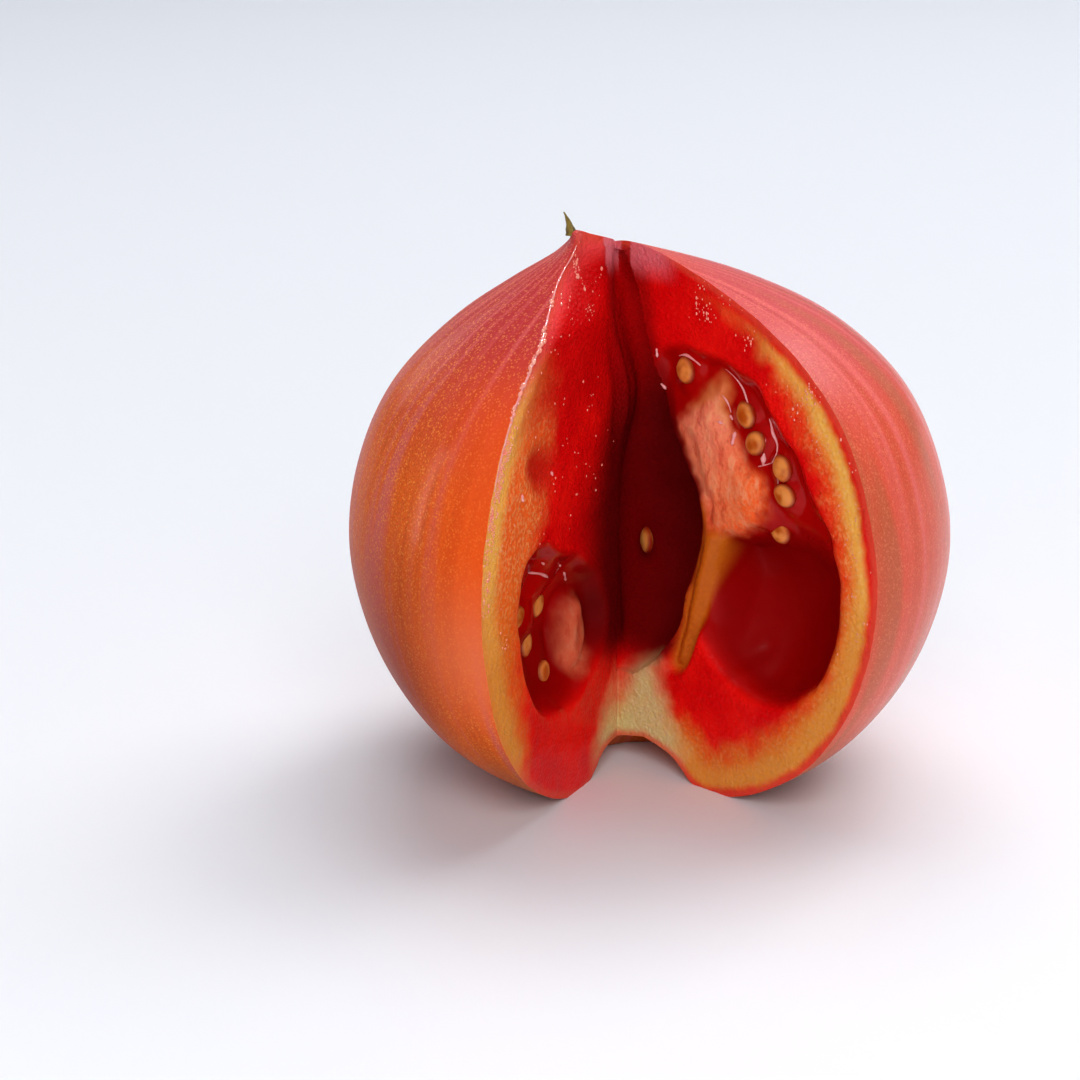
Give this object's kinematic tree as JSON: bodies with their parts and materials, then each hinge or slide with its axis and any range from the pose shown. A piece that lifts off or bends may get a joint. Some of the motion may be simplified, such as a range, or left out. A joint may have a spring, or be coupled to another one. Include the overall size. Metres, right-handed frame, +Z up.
{
  "type": "tomato",
  "caption": "Large ripe tomato standing on its stem end, pointed tip up, with a wedge cut out that shows seed chambers, placenta and seeds.",
  "frame": {"origin": "middle of the base, at the height of the flat ring the fruit stands on", "axes": "+Z up towards the pointed blossom tip, -Y the way the cut opens, +X to the right when looking into the cut"},
  "size_m": [0.0902, 0.0836, 0.0865],
  "materials": {
    "fruit": "satin",
    "dried_style": "matte"
  },
  "bodies": {
    "root": {"fruit": "fruit", "dried_style": "dried_style"}
  },
  "joints": []
}
